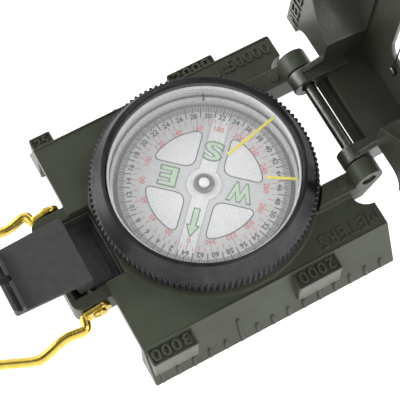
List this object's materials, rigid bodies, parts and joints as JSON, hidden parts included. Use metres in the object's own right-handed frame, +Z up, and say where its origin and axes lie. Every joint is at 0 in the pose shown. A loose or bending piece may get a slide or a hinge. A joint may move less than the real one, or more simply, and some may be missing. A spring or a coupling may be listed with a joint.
{
  "type": "sighting compass",
  "caption": "Folding sighting compass with a cast base carrying map scales, a knurled rotating bezel over a liquid dial, a hinged cover, a folding rear sight and a wire thumb loop.",
  "frame": {"origin": "on the dial axis, in the plane of the base's flat underside", "axes": "+X from the dial axis to the cover hinge, +Y to the left of the sighting line seen by the user, +Z up through the dial"},
  "size_m": [0.1245, 0.0648, 0.0776],
  "materials": {
    "olive_paint": "satin olive enamel on a die casting",
    "cover_paint": "satin olive enamel on a die casting, a little darker than the base",
    "black_anodised": "satin black anodised",
    "black_plastic": "fine matte",
    "capsule_plastic": "pale grey moulding",
    "card_plastic": "printed white card",
    "clear_glass": "clear",
    "luminous_yellow": "luminous paint",
    "brass": "bright lacquered",
    "bright_steel": "bright",
    "dark_steel": "dark",
    "seal_rubber": "matte"
  },
  "bodies": {
    "base": {"base_body": "olive_paint", "bottom_cap": "olive_paint", "sight_bed": "black_plastic", "capsule_cup": "capsule_plastic", "capsule_seal": "seal_rubber", "capsule_lid": "clear_glass", "pivot_post": "bright_steel", "bezel_retaining_ring": "bright_steel", "bezel_click_spring": "bright_steel", "rear_sight_pin": "bright_steel", "rear_sight_spring": "bright_steel", "loop_screw_near": "brass", "loop_screw_far": "brass", "hinge_pin": "dark_steel"},
    "bezel": {"bezel_ring": "black_anodised", "bezel_glass": "clear_glass", "glass_seat": "capsule_plastic", "luminous_line_long": "luminous_yellow", "luminous_line_short": "luminous_yellow"},
    "card": {"card_disc": "card_plastic", "needle_magnet": "dark_steel", "card_hub": "dark_steel", "jewel_bearing": "clear_glass"},
    "cover": {"cover": "cover_paint", "sighting_wire": "dark_steel", "wire_anchor_front": "cover_paint", "wire_anchor_hinge": "cover_paint"},
    "rear_sight": {"rear_sight": "black_plastic"},
    "thumb_loop": {"thumb_loop": "brass"}
  },
  "joints": [
    {"name": "bezel_turn", "type": "hinge", "parent": "base", "child": "bezel", "pos_m": [0, 0, 0.017], "axis": [0, 0, 1], "continuous": true},
    {"name": "card_swing", "type": "hinge", "parent": "base", "child": "card", "pos_m": [0, 0, 0.0131], "axis": [0, 0, 1], "continuous": true},
    {"name": "cover_hinge", "type": "hinge", "parent": "base", "child": "cover", "pos_m": [0.0321, 0, 0.0165], "axis": [0, 1, 0], "range_deg": [-95, 85]},
    {"name": "sight_fold", "type": "hinge", "parent": "base", "child": "rear_sight", "pos_m": [-0.0334, 0, 0.0086], "axis": [0, 1, 0], "range_deg": [0, 90]},
    {"name": "loop_swing", "type": "hinge", "parent": "base", "child": "thumb_loop", "pos_m": [-0.0334, 0, 0.0086], "axis": [0, 1, 0], "range_deg": [0, 100]}
  ]
}
